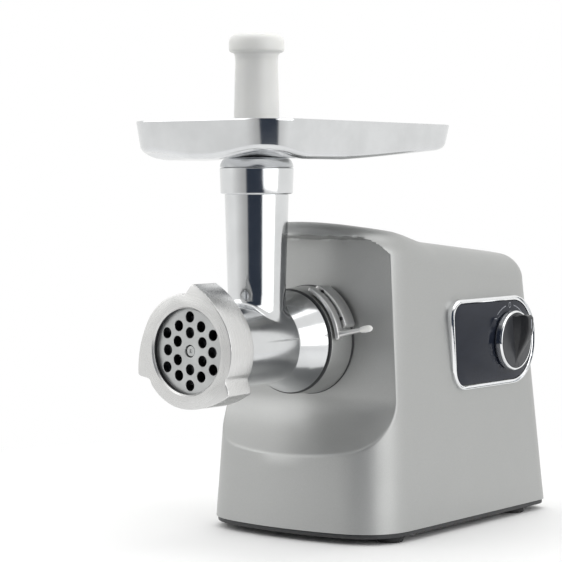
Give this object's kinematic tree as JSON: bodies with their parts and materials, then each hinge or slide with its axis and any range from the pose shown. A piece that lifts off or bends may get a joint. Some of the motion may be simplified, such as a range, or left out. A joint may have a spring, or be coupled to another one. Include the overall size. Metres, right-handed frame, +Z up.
{
  "type": "electric meat grinder",
  "caption": "Countertop electric meat grinder with a cast grinding head, hopper tray, food pusher, ring nut with perforated plate, rotary switch and geared motor in a painted housing.",
  "frame": {"origin": "on the table, under the middle of the outer box", "axes": "+Z up, the head and its plate face -Y, and the control knob is on the +X side"},
  "size_m": [0.1696, 0.328, 0.3378],
  "materials": {
    "painted_housing": "satin silver-grey paint",
    "cast_aluminium": "polished casting",
    "satin_aluminium": "satin machined",
    "steel": "ground",
    "chrome_trim": "bright",
    "panel_gloss": "gloss black",
    "black_plastic": "fine texture",
    "foot_rubber": "matt",
    "white_plastic": "milky white",
    "brass": "machined",
    "copper": "enamelled winding",
    "nylon": "moulded",
    "cast_iron": "laminated or sintered iron",
    "circuit_green": "printed board"
  },
  "bodies": {
    "housing": {"housing_shell": "painted_housing", "base_plate": "black_plastic", "foot_front_left": "foot_rubber", "foot_front_right": "foot_rubber", "foot_rear_left": "foot_rubber", "foot_rear_right": "foot_rubber", "base_screw_front_left": "steel", "base_screw_front_right": "steel", "base_screw_rear_left": "steel", "base_screw_rear_right": "steel", "control_panel": "panel_gloss", "panel_bezel": "chrome_trim", "rotary_switch": "black_plastic", "socket_collar": "painted_housing", "lock_guide": "satin_aluminium", "guide_screw_1": "steel", "guide_screw_2": "steel", "gearbox_front": "cast_aluminium", "gearbox_rear": "cast_aluminium", "output_bearing": "brass", "motor_stator": "cast_iron", "field_coil_upper": "copper", "field_coil_lower": "copper", "motor_bracket": "cast_aluminium", "brush_holder_left": "brass", "brush_holder_right": "brass", "circuit_board": "circuit_green", "cord_inlet": "foot_rubber"},
    "lever": {"lock_lever": "satin_aluminium", "lever_tip": "white_plastic"},
    "head": {"grinder_head": "cast_aluminium", "worm_bush": "nylon"},
    "tray": {"hopper_tray": "cast_aluminium"},
    "pusher": {"food_pusher": "white_plastic"},
    "worm_set": {"worm": "cast_aluminium", "worm_pin": "steel", "worm_coupling": "nylon", "cutting_blade": "steel"},
    "plate": {"cutting_plate": "steel"},
    "nut": {"ring_nut": "satin_aluminium"},
    "output": {"output_gear": "cast_iron", "output_shaft": "steel"},
    "second_wheel": {"second_gear": "nylon", "second_shaft": "steel"},
    "first_wheel": {"first_gear": "nylon", "first_shaft": "steel"},
    "rotor": {"motor_shaft": "steel", "rotor_core": "cast_iron", "commutator": "copper", "cooling_fan": "black_plastic"},
    "knob": {"selector_knob": "black_plastic", "knob_ring": "chrome_trim", "knob_spindle": "steel"}
  },
  "joints": [
    {"name": "knob_turn", "type": "hinge", "parent": "housing", "child": "knob", "pos_m": [0.0748, 0.109, 0.1274], "axis": [1, 0, 0], "range_deg": [-45, 45]},
    {"name": "lever_turn", "type": "hinge", "parent": "housing", "child": "lever", "pos_m": [-0.0072, -0.052, 0.133], "axis": [0, -1, 0], "range_deg": [0, 35]},
    {"name": "head_slide", "type": "slide", "parent": "housing", "child": "head", "axis": [0, -1, 0], "range_m": [0, 0.05]},
    {"name": "tray_lift", "type": "slide", "parent": "head", "child": "tray", "axis": [0, 0, 1], "range_m": [0, 0.04]},
    {"name": "pusher_slide", "type": "slide", "parent": "tray", "child": "pusher", "axis": [0, 0, 1], "range_m": [0, 0.15]},
    {"name": "plate_travel", "type": "slide", "parent": "head", "child": "plate", "axis": [0, -1, 0], "range_m": [0, 0.012]},
    {"name": "nut_turn", "type": "hinge", "parent": "plate", "child": "nut", "pos_m": [-0.0072, -0.152, 0.133], "axis": [0, -1, 0], "range_deg": [0, 1080]},
    {"name": "worm_spin", "type": "hinge", "parent": "head", "child": "worm_set", "pos_m": [-0.0072, -0.1, 0.133], "axis": [0, 1, 0], "continuous": true},
    {"name": "output_spin", "type": "hinge", "parent": "housing", "child": "output", "pos_m": [-0.0072, -0.004, 0.133], "axis": [0, 1, 0], "continuous": true},
    {"name": "second_spin", "type": "hinge", "parent": "housing", "child": "second_wheel", "pos_m": [-0.0312, 0.01, 0.09143], "axis": [0, 1, 0], "continuous": true},
    {"name": "first_spin", "type": "hinge", "parent": "housing", "child": "first_wheel", "pos_m": [-0.01245, 0.022, 0.05896], "axis": [0, 1, 0], "continuous": true},
    {"name": "rotor_spin", "type": "hinge", "parent": "housing", "child": "rotor", "pos_m": [0.0034, 0.076, 0.08875], "axis": [0, 1, 0], "continuous": true}
  ],
  "couplings": [
    {"joint": "first_spin", "follows": "rotor_spin", "ratio": -0.2},
    {"joint": "second_spin", "follows": "rotor_spin", "ratio": 0.05},
    {"joint": "output_spin", "follows": "rotor_spin", "ratio": -0.016667},
    {"joint": "worm_spin", "follows": "rotor_spin", "ratio": -0.016667},
    {"joint": "plate_travel", "follows": "nut_turn", "m_per_rad": 0.00063662}
  ]
}
